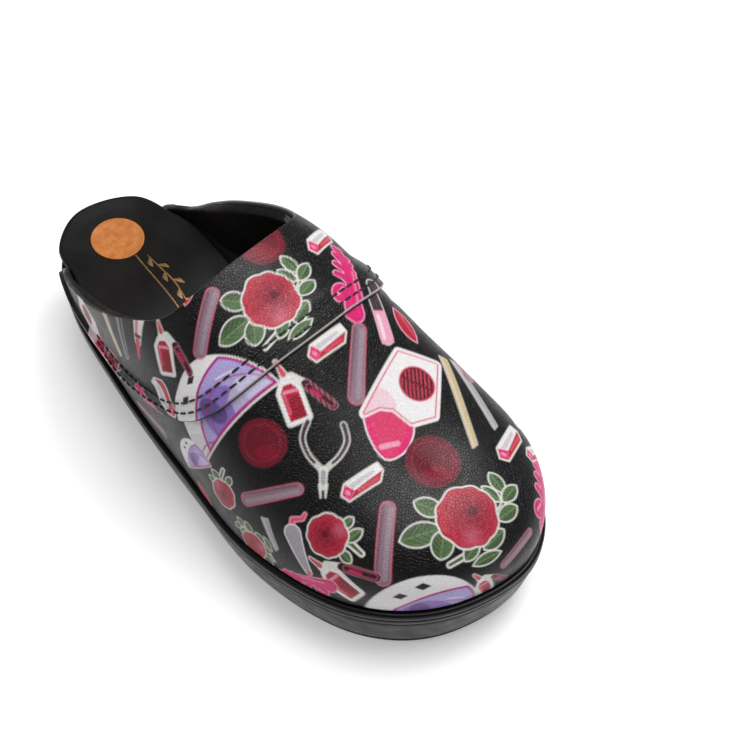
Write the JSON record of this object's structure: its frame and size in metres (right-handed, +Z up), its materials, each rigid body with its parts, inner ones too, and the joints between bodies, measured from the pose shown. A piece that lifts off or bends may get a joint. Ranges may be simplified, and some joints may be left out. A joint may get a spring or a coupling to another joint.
{
  "type": "slip-on clog",
  "caption": "Closed-toe, open-back slip-on clog with a printed leather upper and a thick moulded sole, for the right foot.",
  "frame": {"origin": "on the ground, under the middle of the clog's bounding box", "axes": "+X from heel to toe, +Y to the big-toe side, +Z up"},
  "size_m": [0.262, 0.1094, 0.1133],
  "materials": {
    "printed_leather": "satin grain, printed with garden and nail-care motifs",
    "footbed_leather": "satin",
    "patch_leather": "matte",
    "sole_moulding": "satin",
    "tread_rubber": "matte",
    "lining_textile": "matte",
    "thread": "waxed",
    "foam": "open cell",
    "stiffener": "matte",
    "fibre_board": "pressed fibre",
    "cork_filler": "cork",
    "shank_steel": "brushed"
  },
  "bodies": {
    "root": {"tread_outsole": "tread_rubber", "sole_unit": "sole_moulding", "rand_strip": "sole_moulding", "shank": "shank_steel", "bottom_filler": "cork_filler", "insole_board": "fibre_board", "footbed_core": "cork_filler", "footbed_cover": "footbed_leather", "heel_patch": "patch_leather", "vamp": "printed_leather", "instep_panel": "printed_leather", "vamp_lining": "lining_textile", "instep_lining": "lining_textile", "toe_puff": "stiffener", "collar_foam": "foam", "seam_thread_front": "thread", "seam_thread_rear": "thread"}
  },
  "joints": []
}
